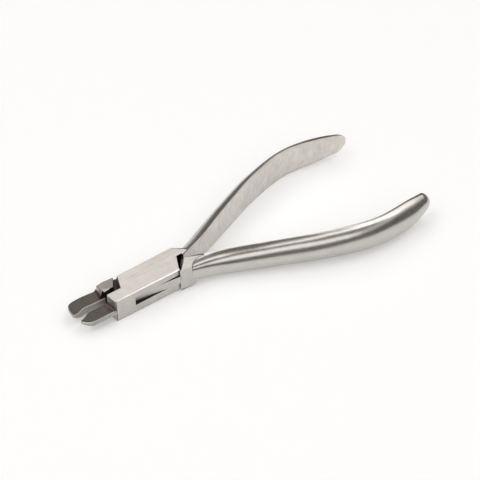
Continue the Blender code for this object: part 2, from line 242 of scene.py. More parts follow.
def cut(item, tool, operation="DIFFERENCE"):
    """Cuts one closed surface out of another, or unites them, and drops the second."""
    step = item.modifiers.new("cut", "BOOLEAN")
    step.operation = operation
    step.object = tool
    step.solver = "EXACT"
    evaluated = item.evaluated_get(bpy.context.evaluated_depsgraph_get())
    shaped = bpy.data.meshes.new_from_object(evaluated)
    item.modifiers.clear()
    old = item.data
    item.data = shaped
    shaped.name = old.name
    bpy.data.meshes.remove(old)
    bpy.data.objects.remove(tool, do_unlink=True)
    return item


# %% [markdown]
# The box is one block with a notch at either end, in front on its far side and behind on
# its near side, so that the other half can swing. The slot is cut through it from side
# to side, as a slotting cutter does, and the rivet's hole is bored and countersunk.

# %% The box
HALF_WIDTH = 5.35
BOX_FRONT = -18.80
EDGE_BREAK = 0.30
EDGE_DROP = 0.13
BOX_OUTLINE = [
    (BOX_FRONT, -HALF_WIDTH, 0.50),
    (7.00, -HALF_WIDTH, 0),
    (10.20, 0.70, 0),
    (12.50, 0.70, 0),
    (15.30, 1.75, 0),
    (11.20, HALF_WIDTH + 0.30, 0),
    (-12.20, HALF_WIDTH - 0.30, 1.80),
    (-14.55, -0.45, 0.36),
    (-19.40, -0.45, 0.36),
]
SLOT_OUTLINE = [
    (-11.30, -12.0), (-11.30, -HALF_WIDTH), (-14.55, -0.45), (-14.55, 12.0),
    (7.80, 12.0), (7.80, HALF_WIDTH), (10.20, 0.70), (10.20, -12.0),
]
# the bevel's cutter across the front notch's slanted wall: distance inwards, and height
NOTCH_BEVEL = np.array([(-0.30, 7.00), (0.87, 9.00), (-0.30, 9.00)])
# the wall's line in plan, run on a little at both ends
NOTCH_EDGE = np.array([(-14.60, -0.56), (-11.90, 5.76)])
SLOT_FLOOR = 3.04
SLOT_CEILING = 6.45


def plain_prism(outline, low, high):
    """A plan outline raised from low to high, all its edges sharp."""
    flat = np.array(outline, dtype=float)
    return np.array([np.column_stack([flat, np.full(len(flat), z)]) for z in (low, high)])


box = solid("box", milled(rounded(BOX_OUTLINE), 0, BOX_HEIGHT, EDGE_BREAK, EDGE_DROP))
cut(box, solid("slot_cutter", plain_prism(SLOT_OUTLINE, SLOT_FLOOR, SLOT_CEILING)))
along = NOTCH_EDGE[1] - NOTCH_EDGE[0]
inward = np.array([along[1], -along[0]]) / np.linalg.norm(along)
bevel_rings = [np.column_stack([foot + NOTCH_BEVEL[:, :1] * inward, NOTCH_BEVEL[:, 1]])
               for foot in NOTCH_EDGE]
cut(box, solid("bevel_cutter", np.array(bevel_rings)))
print("box", len(box.data.polygons), "faces")

# %% [markdown]
# The rivet is turned, so it is a profile carried round the pivot's axis. Its countersunk
# heads sit in the box's cheeks and are ground flush, which leaves a hairline circle.

# %% The rivet
RIVET_RADIUS = 2.30
RIVET_HEAD = 3.10
HEAD_DEPTH = 0.80
HEAD_RIM = 0.15
HAIRLINE = 0.012                      # the gap round the rivet
RIVET_RIM = 0.02                      # the rivet's own broken edge
BORE_RIM = 0.0001                     # the bore's, next to none
RIVET_SIDES = 96


def lathe(profile, sides):
    """Carries (radius, height) points round the pivot's axis."""
    shape = np.array(profile, dtype=float)
    angle = np.linspace(0, 2 * math.pi, sides, endpoint=False)
    x = shape[:, :1] * np.cos(angle)
    y = shape[:, :1] * np.sin(angle)
    return np.stack([x, y, np.broadcast_to(shape[:, 1:], x.shape)], axis=-1)


def rivet_profile(gap, rim):
    """Shaft with a cone at either end, grown by the gap and cut off by the rim."""
    head, shaft = RIVET_HEAD + gap, RIVET_RADIUS + gap
    return [
        (head - rim, -gap), (head, rim - gap), (head, HEAD_RIM), (shaft, HEAD_DEPTH),
        (shaft, BOX_HEIGHT - HEAD_DEPTH), (head, BOX_HEIGHT - HEAD_RIM),
        (head, BOX_HEIGHT - rim + gap), (head - rim, BOX_HEIGHT + gap),
    ]


cut(box, solid("rivet_bore", lathe(rivet_profile(HAIRLINE, BORE_RIM), RIVET_SIDES)))
rivet = solid("rivet", lathe(rivet_profile(0, RIVET_RIM), RIVET_SIDES))

# %% [markdown]
# A handle is forged flat inside and rounded outside, and bows outwards for the hand. It
# is a section carried along a curved path. The outer side of the section is half a
# superellipse, which is an ellipse with a chosen squareness, and the inner side is a
# shallow square one, so the face is nearly flat and its two edges are softly rounded.

# %% Handles
HANDLE_START = 12.50
HANDLE_END = 105.20
HANDLE_BOW = 23.45
HANDLE_HEIGHT = 12.40
HANDLE_DEPTH = 4.50
FAR_ROUND = 4.60                      # length of the rounded end
NEAR_ROUND = 3.60
NEAR_HANDLE_SET = math.radians(3.9)   # the near handle is turned in by this on its half
# share of length, bow, half height, squareness above and below the middle, depth, fall above
FAR_SECTIONS = np.array([
    (0.000, 0.025, 0.630, 3.50, 2.90, 0.84, 0.45),
    (0.095, 0.147, 0.710, 3.00, 2.50, 1.08, 0.45),
    (0.293, 0.479, 0.900, 2.60, 2.00, 1.08, 0.30),
    (0.502, 0.815, 1.000, 2.20, 1.87, 0.92, 0.15),
    (0.698, 1.000, 1.000, 2.20, 2.20, 0.61, 0.00),
    (0.885, 0.913, 0.820, 2.40, 2.40, 0.76, 0.00),
    (1.000, 0.828, 0.560, 2.20, 2.20, 0.42, 0.00),
])
NEAR_SECTIONS = np.array([
    (0.000, 0.025, 0.630, 2.90, 3.10, 1.20, 0),
    (0.095, 0.147, 0.710, 1.92, 3.20, 1.04, 0),
    (0.293, 0.479, 0.900, 1.70, 1.88, 1.05, 0),
    (0.502, 0.815, 1.000, 1.70, 1.50, 1.07, 0),
    (0.698, 1.000, 1.000, 1.87, 1.77, 1.05, 0),
    (0.885, 0.913, 0.820, 1.55, 3.10, 1.05, 0),
    (1.000, 0.828, 0.560, 1.80, 2.20, 0.76, 0),
])
HANDLE_STATIONS = 220
ROUND_STATIONS = 20
OUTER_POINTS = 64
INNER_POINTS = 40
INNER_CROWN = 0.22                    # how far the inner face swells
INNER_SQUARE = 6.0
END_ANGLE = math.radians(89)          # just short of a quarter turn, where the end is a point
END_INSET = 0.45                      # how far the closing end moves out, as a share of depth


def smooth_through(table, shares):
    """A curve through the rows, whose slope at each row is that of its neighbours."""
    at, values = table[:, 0], table[:, 1:]
    slopes = np.gradient(values, at, axis=0)
    index = np.clip(np.searchsorted(at, shares, side="right") - 1, 0, len(at) - 2)
    width = (at[index + 1] - at[index])[:, None]
    t = ((shares - at[index]) / width[:, 0])[:, None]
    begin = (2 * t**3 - 3 * t**2 + 1) * values[index]
    begin += (t**3 - 2 * t**2 + t) * width * slopes[index]
    finish = (3 * t**2 - 2 * t**3) * values[index + 1]
    finish += (t**3 - t**2) * width * slopes[index + 1]
    return begin + finish


def handle_surface(sections, side, turn, end_round):
    """Sections along the bow: offset outwards by a cosine power, raised by a sine power.

    The upper half falls away outwards as well, in proportion to the offset and the rise.
    """
    length = HANDLE_END - HANDLE_START
    round_share = end_round / length
    straight = np.linspace(0, 1 - round_share, HANDLE_STATIONS, endpoint=False)
    closing = np.linspace(0, END_ANGLE, ROUND_STATIONS)
    shares = np.concatenate([straight, 1 - round_share * (1 - np.sin(closing))])
    shrink = np.concatenate([np.ones(HANDLE_STATIONS), np.cos(closing)])
    bow, height, upper, lower, depth, fall = smooth_through(sections, shares).T
    x = HANDLE_START + shares * length
    y = bow * HANDLE_BOW
    half_height = height * HANDLE_HEIGHT / 2 * shrink
    depth = depth * HANDLE_DEPTH
    slope = np.arctan(np.gradient(y, x))
    inset = depth * (1 - shrink) * END_INSET
    outer = np.linspace(-math.pi / 2, math.pi / 2, OUTER_POINTS)
    inner = np.linspace(math.pi / 2, 3 * math.pi / 2, INNER_POINTS)[1:-1]
    power = 2 / np.where(outer < 0, lower[:, None], upper[:, None])
    out_outer = (depth * shrink)[:, None] * np.clip(np.cos(outer), 0, 1) ** power
    up_outer = np.sign(np.sin(outer)) * np.abs(np.sin(outer)) ** power
    out_inner = -(INNER_CROWN * shrink)[:, None] * np.abs(np.cos(inner)) ** (2 / INNER_SQUARE)
    up_inner = np.broadcast_to(
        np.sign(np.sin(inner)) * np.abs(np.sin(inner)) ** (2 / INNER_SQUARE), (len(x), len(inner)))
    out = np.concatenate([out_outer, out_inner], axis=1) + inset[:, None]
    rise = np.concatenate([up_outer, up_inner], axis=1) * half_height[:, None]
    rise[:, :OUTER_POINTS] -= fall[:, None] * out_outer * np.clip(up_outer, 0, 1)
    grid = np.stack([
        x[:, None] - np.sin(slope)[:, None] * out,
        side * (y[:, None] + np.cos(slope)[:, None] * out),
        MIDDLE + rise,
    ], axis=-1)
    return swung(grid, turn)


far_handle = solid("far_handle", handle_surface(FAR_SECTIONS, 1, 0.0, FAR_ROUND))
near_handle = solid(
    "near_handle",
    swung(handle_surface(NEAR_SECTIONS, -1, NEAR_HANDLE_SET, NEAR_ROUND), -REST_OPENING))
print("handles", len(far_handle.data.polygons), "faces each")

# %% [markdown]
# The tongue lies in the slot, turned open with its half. It is a flat plate that runs
# into the shoulder behind the box and into the front block before it. A dark web fills the
# corner between tongue and shoulder as painted shade: it closes the gap behind the box,
# where there is only shade. A heel lies under the handle's root. Tongue, shoulder, heel and
# block are surfaces that sink into each other, as the one forging that they are on the real tool.

# %% The tongue, its shoulder and its front block
HALF_TONGUE = 5.15
TONGUE_LOW = 3.10
TONGUE_HIGH = 6.20
TONGUE_OUTLINE = [
    (11.80, 0.0, 0), (10.10, 0.0, 0), (7.45, 4.90, 0.1), (6.95, HALF_TONGUE, 0.1),
    (-13.90, HALF_TONGUE, 0), (-16.00, 0.60, 0), (-15.00, 0.60, 0),
    (-10.90, -HALF_TONGUE, 0.1), (7.50, -HALF_TONGUE, 0), (9.20, 0.25 - HALF_TONGUE, 0),
    (12.80, -1.0, 0),
]
TONGUE_EDGE = 0.05
SHOULDER_LOW = [
    (7.45, -HALF_TONGUE, 0), (12.30, -HALF_TONGUE, 0.36), (13.20, -3.64, 0), (14.03, -2.88, 0),
    (14.83, -2.29, 0), (15.20, -1.60, 0), (15.40, -1.20, 0), (15.60, -0.80, 0),
    (11.80, 0.60, 0.50),
]
SHOULDER_TOP = [
    (7.25, -HALF_TONGUE, 0), (11.95, -HALF_TONGUE, 0.36), (13.21, -3.64, 0), (14.03, -2.88, 0),
    (14.83, -2.29, 0), (15.57, -2.01, 0), (16.39, -1.96, 0),
    (18.60, -1.75, 0), (11.80, 0.60, 0.50),
]
HEEL = [
    (11.00, 0.20), (12.40, 0.20), (12.98, 0.94), (13.59, 1.60), (14.39, 1.96), (15.60, 2.15),
    (15.60, 3.40), (11.00, 3.40),
]
HEEL_NEAR_SIDE = 0.004 - HALF_TONGUE  # a hair inside the shoulder's own side
HEEL_FAR_SIDE = -1.2
# a dark web in the gap behind the box, standing in for the shade there
SHADE_WEB = [(8.60, -3.60), (9.90, -4.30), (12.40, 0.20), (10.20, 0.60)]
WEB_LOW = 0.35
WEB_HIGH = 7.90
BLOCK_FRONT = -20.00
BLOCK_HEIGHT = 6.20
BLOCK_DRAFT = 0.60
BLOCK_EDGE = 0.12
BLOCK_FOOT = [
    (-12.90, HALF_TONGUE, 0.30), (BLOCK_FRONT + 2.60, HALF_TONGUE, 2.60),
    (BLOCK_FRONT, 4.65, 0.30), (BLOCK_FRONT, 0.60, 0.20), (-15.00, 0.60, 0.30),
]
BLOCK_TOP = [
    (-12.90, HALF_TONGUE, 0.30), (BLOCK_FRONT + 2.60, HALF_TONGUE - 0.30, 2.60),
    (BLOCK_FRONT + BLOCK_DRAFT - 0.30, 4.65 - BLOCK_DRAFT, 0.30),
    (BLOCK_FRONT + BLOCK_DRAFT, 0.60, 0.20), (-15.00, 0.60, 0.30),
]
# a three-sided bar takes the facet off: one end of it, and the way to its other end
FACET = np.array([(-18.85, 1.85, 7.58), (-16.10, 0.75, 7.58), (-18.18, -0.46, 6.15)])
FACET_AWAY = np.array([-0.60, -2.00, 1.40])


def two_plan_block(foot, top, low, high, edge, drop, lean):
    """A block whose plan changes with height: lean gives the share of the top outline."""
    wide, narrow = rounded(foot), rounded(top)
    insets, heights = edge_profile(low, high, edge, drop)
    middle = len(heights) // 2
    insets = np.insert(insets, middle, [0, 0])
    heights = np.insert(heights, middle, [MIDDLE - HOLD, MIDDLE + HOLD])
    rings = []
    for inset, z in zip(insets, heights):
        share = lean(z)
        plan = drawn_in(wide * (1 - share) + narrow * share, inset)
        rings.append(np.column_stack([plan, np.full(len(plan), z)]))
    return np.array(rings)


def block_lean(z):
    """The front block is fullest at the middle height and leans in to both ends."""
    return abs(z - MIDDLE) / (BLOCK_HEIGHT / 2)


def shoulder_lean(z):
    """The shoulder's tail along the handle belongs to its upper half alone."""
    return 1.0 if z > MIDDLE else 0.0


tongue = solid("tongue", swung(
    milled(rounded(TONGUE_OUTLINE), TONGUE_LOW, TONGUE_HIGH, TONGUE_EDGE, TONGUE_EDGE),
    -REST_OPENING))
shade_web = solid("shade_web", swung(plain_prism(SHADE_WEB, WEB_LOW, WEB_HIGH), -REST_OPENING))
shoulder = solid("shoulder", swung(
    two_plan_block(SHOULDER_LOW, SHOULDER_TOP, 0, BOX_HEIGHT, EDGE_BREAK, EDGE_DROP, shoulder_lean),
    -REST_OPENING))
heel = solid("heel", swung(side_prism(HEEL, HEEL_NEAR_SIDE, HEEL_FAR_SIDE), -REST_OPENING))
cut(shoulder, heel, "UNION")
front_block = solid("front_block", swung(
    two_plan_block(BLOCK_FOOT, BLOCK_TOP, MIDDLE - BLOCK_HEIGHT / 2, MIDDLE + BLOCK_HEIGHT / 2,
                   BLOCK_EDGE, BLOCK_EDGE, block_lean), -REST_OPENING))
facet_tool = swung(np.array([FACET, FACET + FACET_AWAY]), -REST_OPENING)
facet_normal = np.cross(facet_tool[0, 1] - facet_tool[0, 0], facet_tool[0, 2] - facet_tool[0, 0])
facet_normal /= -np.linalg.norm(facet_normal)
cut(front_block, solid("facet_cutter", facet_tool))
print("facet faces", np.round(facet_normal, 2))

# %% [markdown]
# The jaws are thin blades set low in the box. The near tip is hollowed and the far one
# is full, so that a crown's rim is bent between them. Each is cut to a smooth plan that
# passes through a few measured points, has a narrow chamfer all round, and is ground
# away underneath towards its tip. A small hollow fillet joins it to the face behind it.

# %% Jaws
JAW_TOP = 4.90
NEAR_THICKNESS = 2.00
FAR_THICKNESS = 3.10
JAW_TIP_THICKNESS = 0.90
JAW_TAPER = 4.00
WEDGE_REACH = 2                       # how far the wedge's cutter goes past the blade
WEDGE_HALF_WIDTH = 9.0
JAW_FILLET = 0.85
FILLET_STEPS = 9
FILLET_BACK = 0.6                     # how far the fillet sinks into the face behind it
FILLET_ROOT = 0.3                     # and into the blade below it
JAW_CHAMFER = 0.26
JAW_POINTS = 150
NEAR_PLAN = [
    (-18.00, -0.15), (-21.00, -0.15), (-24.00, -0.12), (-26.30, -0.12), (-27.00, -0.22),
    (-27.60, -0.60), (-28.40, -1.15), (-29.40, -1.58), (-30.20, -1.80), (-30.62, -2.10),
    (-30.66, -2.60), (-30.35, -3.30), (-29.55, -4.20), (-28.45, -4.85), (-27.10, -5.18),
    (-25.00, -5.25), (-21.50, -5.25), (-18.00, -5.25),
]
FAR_PLAN = [
    (-18.60, -0.30), (-20.30, -0.45), (-22.00, -0.62), (-24.00, -0.75), (-25.60, -0.85),
    (-26.80, -1.00), (-27.70, -1.38), (-28.60, -1.90), (-29.60, -2.25), (-30.50, -2.42),
    (-31.05, -2.42), (-31.28, -2.10), (-31.38, -1.30), (-31.40, 0.00), (-31.25, 1.60),
    (-30.85, 2.85), (-30.10, 3.60), (-28.90, 4.05), (-27.30, 4.38), (-25.00, 4.66),
    (-22.00, 4.80), (-18.60, 4.85),
]
BOX_FRONT_LEAN = -0.1224              # how far the box's front runs forward per mm across
NEAR_FILLET_SPAN = (-5.20, -0.60)
FAR_FILLET_SPAN = (0.62, 4.62)
FAR_FILLET_SINK = 0.03                # its face lies so far behind the block's front


def smooth_plan(points, count):
    """A smooth curve through the points, evenly stepped but for its two longer end steps.

    The outline turns a corner at both ends, where a chamfer would fold over a short step.
    """
    passed = np.array(points)
    steps = np.linalg.norm(np.diff(passed, axis=0), axis=1)
    length = np.concatenate([[0], np.cumsum(steps)])
    table = np.column_stack([length / length[-1], passed])
    curve = smooth_through(table, np.linspace(0, 1, count))
    return np.delete(curve, [1, -2], axis=0)


def blade(name, plan, thickness, turn):
    """A chamfered plate from the plan, with a wedge ground off under its tip."""
    low = JAW_TOP - thickness
    plate = milled(smooth_plan(plan, JAW_POINTS), low, JAW_TOP, JAW_CHAMFER, JAW_CHAMFER)
    tip_low = JAW_TOP - JAW_TIP_THICKNESS
    tip_x = min(x for x, _ in plan)
    past, under = tip_x - WEDGE_REACH, low - WEDGE_REACH
    wedge = [(tip_x + JAW_TAPER, low),
             (past, tip_low + WEDGE_REACH * (tip_low - low) / JAW_TAPER),
             (past, under), (tip_x + JAW_TAPER, under)]
    item = solid(name, swung(plate, turn))
    bar = side_prism(wedge, -WEDGE_HALF_WIDTH, WEDGE_HALF_WIDTH)
    return cut(item, solid("wedge", swung(bar, turn)))


def cove(face_x, near_y, far_y, lean):
    """A hollow quarter-circle fillet between a blade's top and the face behind it."""
    bend = np.linspace(0, math.pi / 2, FILLET_STEPS)
    hollow = np.column_stack([face_x - JAW_FILLET + JAW_FILLET * np.sin(bend),
                              JAW_TOP + JAW_FILLET * (1 - np.cos(bend))])
    back = [(face_x + FILLET_BACK, JAW_TOP + JAW_FILLET),
            (face_x + FILLET_BACK, JAW_TOP - FILLET_ROOT),
            (face_x - JAW_FILLET, JAW_TOP - FILLET_ROOT)]
    return side_prism(np.vstack([hollow, back]), near_y, far_y, lean)


near_jaw = blade("near_jaw", NEAR_PLAN, NEAR_THICKNESS, 0.0)
near_fillet = solid("near_fillet", cove(BOX_FRONT, *NEAR_FILLET_SPAN, BOX_FRONT_LEAN))
far_jaw = blade("far_jaw", FAR_PLAN, FAR_THICKNESS, -REST_OPENING)
far_fillet = solid("far_fillet", swung(
    cove(BLOCK_FRONT + FAR_FILLET_SINK, *FAR_FILLET_SPAN, 0.0), -REST_OPENING))

# %% [markdown]
# Stainless steel is a metal with a slightly warm grey colour. What it looks like comes
# from its finish: fine grinding lines all one way, as noise gives when it is stretched
# along one axis. The noise changes the roughness a little and raises tiny ridges.

# %% Steel
CLOUDS_PER_METRE = 330.0
NOISE_LOW = 0.35                      # the noise that gets the darker tone
NOISE_HIGH = 0.65                     # and the lighter one
GLOSS_SWING = 0.06                    # how much the noise changes the roughness
BUMP_STRENGTH = 0.25
# a Mix node's sockets by number: the factor, its two floats and its two colours
MIX_FACTOR, MIX_FLOAT_A, MIX_FLOAT_B, MIX_COLOUR_A, MIX_COLOUR_B = 0, 2, 3, 6, 7
FLOAT_RESULT, COLOUR_RESULT = 0, 2


def steel(name, colour, roughness, grain, streak, contrast, relief=0.02, turn=(0, 0, 0)):
    """A metal with streaks and clouds.

    The grain is a streak's size along x, y and z in millimetres, and streak is the share
    of streaks in the tone, with clouds for the rest.
    """
    material = bpy.data.materials.new(name)
    material.use_nodes = True
    nodes, links = material.node_tree.nodes, material.node_tree.links
    shader = nodes["Principled BSDF"]
    shader.inputs["Metallic"].default_value = 1.0
    where = nodes.new("ShaderNodeTexCoord")
    stretch = nodes.new("ShaderNodeMapping")
    stretch.vector_type = "TEXTURE"
    stretch.inputs["Scale"].default_value = [size * MM for size in grain]
    stretch.inputs["Rotation"].default_value = turn
    links.new(where.outputs["Object"], stretch.inputs["Vector"])
    lines = nodes.new("ShaderNodeTexNoise")
    lines.inputs["Scale"].default_value = 1.0
    lines.inputs["Detail"].default_value = 4.0
    links.new(stretch.outputs["Vector"], lines.inputs["Vector"])
    cloud = nodes.new("ShaderNodeTexNoise")
    cloud.inputs["Scale"].default_value = CLOUDS_PER_METRE
    cloud.inputs["Detail"].default_value = 3.0
    links.new(where.outputs["Object"], cloud.inputs["Vector"])
    both = nodes.new("ShaderNodeMix")
    both.inputs[MIX_FACTOR].default_value = streak
    links.new(cloud.outputs["Fac"], both.inputs[MIX_FLOAT_A])
    links.new(lines.outputs["Fac"], both.inputs[MIX_FLOAT_B])
    spread = nodes.new("ShaderNodeMapRange")
    spread.inputs["From Min"].default_value = NOISE_LOW
    spread.inputs["From Max"].default_value = NOISE_HIGH
    links.new(both.outputs[FLOAT_RESULT], spread.inputs["Value"])
    tone = nodes.new("ShaderNodeMix")
    tone.data_type = "RGBA"
    darker = tuple(c * (1 - contrast) for c in colour)
    lighter = tuple(min(1, c * (1 + contrast)) for c in colour)
    tone.inputs[MIX_COLOUR_A].default_value = darker + (1,)
    tone.inputs[MIX_COLOUR_B].default_value = lighter + (1,)
    links.new(spread.outputs["Result"], tone.inputs[MIX_FACTOR])
    links.new(tone.outputs[COLOUR_RESULT], shader.inputs["Base Color"])
    gloss = nodes.new("ShaderNodeMapRange")
    gloss.inputs["To Min"].default_value = roughness - GLOSS_SWING
    gloss.inputs["To Max"].default_value = roughness + GLOSS_SWING
    links.new(lines.outputs["Fac"], gloss.inputs["Value"])
    links.new(gloss.outputs["Result"], shader.inputs["Roughness"])
    bump = nodes.new("ShaderNodeBump")
    bump.inputs["Strength"].default_value = BUMP_STRENGTH
    bump.inputs["Distance"].default_value = relief * MM
    links.new(lines.outputs["Fac"], bump.inputs["Height"])
    links.new(bump.outputs["Normal"], shader.inputs["Normal"])
    return material


# name, colour, roughness, grain, share of streaks, contrast, and for some relief and turn
TOP_STEEL = steel(
    "brushed_top_steel", (0.55, 0.518, 0.48), 0.34, (12, 0.40, 0.40), 0.75, 0.15)
SIDE_STEEL = steel(
    "matte_side_steel", (0.588, 0.572, 0.547), 0.48, (0.5, 0.5, 0.5), 0.5, 0.07)
# painted highlight: a lighter steel on the broken edges and on the front block's facet, where they
# catch the lamps
HIGHLIGHT_EDGE_STEEL = steel(
    "painted_highlight_edge_steel", (0.80, 0.78, 0.75), 0.30, (3, 3, 3), 0.5, 0.05)
# painted shade: dark lines on the handles' corners beside their inner faces, where they face the
# shade under and beside them
CORNER_SHADE_STEEL = steel(
    "painted_shade_corner_steel", (0.29, 0.245, 0.207), 0.35, (1, 1, 1), 0.5, 0.15)
# painted shade: near-black steel on the faces inside the slot, the front notch's long wall, the
# tongue's broad faces and ends, and the front block's inner side and rear
SLOT_SHADE_STEEL = steel(
    "painted_shade_slot_steel", (0.056, 0.050, 0.045), 0.45, (0.5, 0.5, 6), 0.8, 0.35)
# the front block's top: a duller worn finish, and darker still as painted shade where it sits below
# the box's top
WORN_SHADED_BLOCK_STEEL = steel(
    "worn_block_steel_painted_shade", (0.285, 0.265, 0.244), 0.38, (0.8, 0.8, 0.8), 0.5, 0.14)
BLUNT_STEEL = steel(
    "blackened_jaw_steel", (0.110, 0.101, 0.090), 0.44, (0.8, 0.8, 0.8), 0.5, 0.16)
GROUND_STEEL = steel(
    "ground_jaw_steel", (0.40, 0.385, 0.358), 0.42, (0.28, 0.28, 4), 0.85, 0.20,
    relief=0.03, turn=(0, 0.7, 0))
# painted shade: dark brown steel on the notch walls, the lower edges, the jaws' fillets and the web
# behind the box
BROWN_SHADE_STEEL = steel(
    "brown_painted_shade_steel", (0.15, 0.11, 0.088), 0.42, (0.4, 0.4, 3), 0.6, 0.25)
ROUND_STEEL = steel(
    "polished_handle_steel", (0.558, 0.538, 0.511), 0.24, (0.4, 0.4, 3.3), 0.5, 0.05,
    relief=0.005)
FACE_STEEL = steel(
    "satin_inner_face_steel", (0.675, 0.645, 0.607), 0.42, (0.6, 0.6, 3), 0.5, 0.12)

# %% [markdown]
# One forging has several finishes: ground flats and matte sides. Some faces get painted light
# instead: a painted highlight on the broken edges and a facet, and painted shade in the slots,
# notches and corners and under the lower edges. A face's finish follows from which way it
# points and where it lies, so numpy picks a steel for every face at once from its normal and
# its centre. The three numbers of a normal are cosines: 1 is straight along that axis and 0.5
# is 60 degrees off it.

# %% Finishes
FLAT = 0.95                           # a broad face's normal is at least so far up or down
UPRIGHT = 0.2                         # and a side wall's at most
SLOT_REACH = 1.95                     # a slot face's centre is this near the middle height
SKIN = 0.2                            # and this far inside the box's sides
FRONT_WALL = -18.0                    # x before which a wall is the box's front
SLOT_START = -14.7                    # x behind which the slot's walls lie
NOTCH_START = -14.0                   # x before which the front notch's long wall lies


def faces_of(item):
    """Centres in millimetres and normals of all the faces, as two arrays."""
    count = len(item.data.polygons)
    centre, normal = np.zeros(count * 3), np.zeros(count * 3)
    item.data.polygons.foreach_get("center", centre)
    item.data.polygons.foreach_get("normal", normal)
    return centre.reshape(-1, 3) / MM, normal.reshape(-1, 3)


def dress(item, body, node, steels, pick=None, sharp=28.0):
    """Shades a finished piece, gives its faces their steels and says what it moves with."""
    item.data.materials.clear()
    for material in steels:
        item.data.materials.append(material)
    if pick is not None:
        item.data.polygons.foreach_set("material_index", pick(*faces_of(item)).astype(np.int32))
    item.data.shade_smooth()
    item.data.set_sharp_from_angle(angle=math.radians(sharp))
    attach(item, body)
    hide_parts(node)


def box_finish(centre, normal):
    """0 ground top, 1 matte side, 2 painted highlight on the broken edge, 3 painted shade in the
    slot and on the front notch's long wall, 4 brown painted shade on the notch walls and lower
    edge.
    """
    flat = np.abs(normal[:, 2]) > FLAT
    upright = np.abs(normal[:, 2]) < UPRIGHT
    in_slot = np.abs(centre[:, 2] - MIDDLE) < SLOT_REACH
    in_slot &= (np.abs(centre[:, 1]) < HALF_WIDTH - SKIN) & (centre[:, 0] > SLOT_START)
    front = upright & (normal[:, 0] < -0.8) & (centre[:, 0] < FRONT_WALL)
    notch = upright & (np.abs(normal[:, 0]) > 0.4) & ~front
    far_inside = upright & (normal[:, 1] > 0.5)
    far_inside &= (centre[:, 1] > -1.0) & (centre[:, 0] < NOTCH_START)
    bevel = (normal[:, 0] < -0.5) & (normal[:, 2] > 0.3)
    bevel &= (centre[:, 1] > -0.6) & (centre[:, 0] > -15.0)
    lower_edge = (normal[:, 2] < -0.2) & (centre[:, 2] < 1)
    outward = (normal[:, 1] < -0.3) | (normal[:, 0] < -0.3)
    # the upper outward edges get the painted highlight
    painted_highlight_edge = (normal[:, 2] > 0.2) & outward & (centre[:, 0] < 8)
    kinds = [in_slot, front, notch | bevel, far_inside, flat, upright, lower_edge, painted_highlight_edge]
    return np.select(kinds, [3, 1, 4, 3, 0, 1, 4, 2], 1)


def shoulder_finish(centre, normal):
    """0 ground top, 1 matte side and edges, 4 brown painted shade on the front and rear walls and
    lower edge.
    """
    flat = np.abs(normal[:, 2]) > FLAT
    upright = np.abs(normal[:, 2]) < UPRIGHT
    end_wall = upright & (np.abs(normal[:, 0]) > 0.4)
    lower_edge = (normal[:, 2] < -0.2) & (centre[:, 2] < 1)
    return np.select([end_wall, flat, upright, lower_edge], [4, 0, 1, 4], 1)


def tongue_finish(centre, normal):
    """0 matte side, 1 painted shade on the broad faces and ends."""
    outer = (normal[:, 1] < -0.8) & (centre[:, 1] < -4.0)
    return np.where(outer, 0, 1)


def block_finish(centre, normal):
    """0 worn top, darker partly as painted shade, 1 painted highlight on the facet, 2 light front,
    3 painted shade on the inner side and rear.
    """
    facet = normal @ facet_normal > 0.97
    front = (normal[:, 0] < -0.7) & (normal[:, 2] < 0.6)
    inner = (normal[:, 1] < -0.5) | (normal[:, 0] > 0.5)
    return np.select([facet, front, inner], [1, 2, 3], 0)


def jaw_finish(centre, normal):
    """0 blackened top, 1 light upper chamfer, 2 ground sides."""
    return np.select([normal[:, 2] > FLAT, normal[:, 2] > 0.3], [0, 1], 2)


def handle_finish(centre, normal):
    """0 polished round, 1 satin inner face, 2 painted shade lines on the corners: the ring's
    columns tell which.
    """
    columns = OUTER_POINTS + INNER_POINTS - 2
    column = np.arange(len(centre)) % columns
    upper_corner, inner_face = OUTER_POINTS + 2, OUTER_POINTS + 4
    lower_corner = columns - 6
    inside = (column >= inner_face) & (column < lower_corner)
    corner = (column >= upper_corner) & ~inside
    return np.select([inside, corner], [1, 2], 0)


BLOCK_SHARP = 20.0                    # degrees: keeps the broken edges crisp
BOX_STEELS = [TOP_STEEL, SIDE_STEEL, HIGHLIGHT_EDGE_STEEL, SLOT_SHADE_STEEL, BROWN_SHADE_STEEL]
BLOCK_STEELS = [WORN_SHADED_BLOCK_STEEL, HIGHLIGHT_EDGE_STEEL, SIDE_STEEL, SLOT_SHADE_STEEL]
HANDLE_STEELS = [ROUND_STEEL, FACE_STEEL, CORNER_SHADE_STEEL]
JAW_STEELS = [BLUNT_STEEL, SIDE_STEEL, GROUND_STEEL]
dress(box, "box_side", "box_half", BOX_STEELS, box_finish, BLOCK_SHARP)
dress(far_handle, "box_side", "box_half", HANDLE_STEELS, handle_finish)
dress(near_jaw, "box_side", "box_half", JAW_STEELS, jaw_finish)
# the fillets under the jaws get brown painted shade
dress(near_fillet, "box_side", "box_half", [BROWN_SHADE_STEEL])
dress(rivet, "box_side", "pivot_pin", [TOP_STEEL])
dress(tongue, "tongue_side", "tongue_half", [SIDE_STEEL, SLOT_SHADE_STEEL], tongue_finish)
# the web is a dark piece of painted shade in the gap
dress(shade_web, "tongue_side", "tongue_half", [BROWN_SHADE_STEEL])
dress(shoulder, "tongue_side", "tongue_half", BOX_STEELS, shoulder_finish,
      BLOCK_SHARP)
dress(front_block, "tongue_side", "tongue_half", BLOCK_STEELS, block_finish)
dress(near_handle, "tongue_side", "tongue_half", HANDLE_STEELS, handle_finish)
dress(far_jaw, "tongue_side", "tongue_half", JAW_STEELS, jaw_finish)
dress(far_fillet, "tongue_side", "tongue_half", [BROWN_SHADE_STEEL])

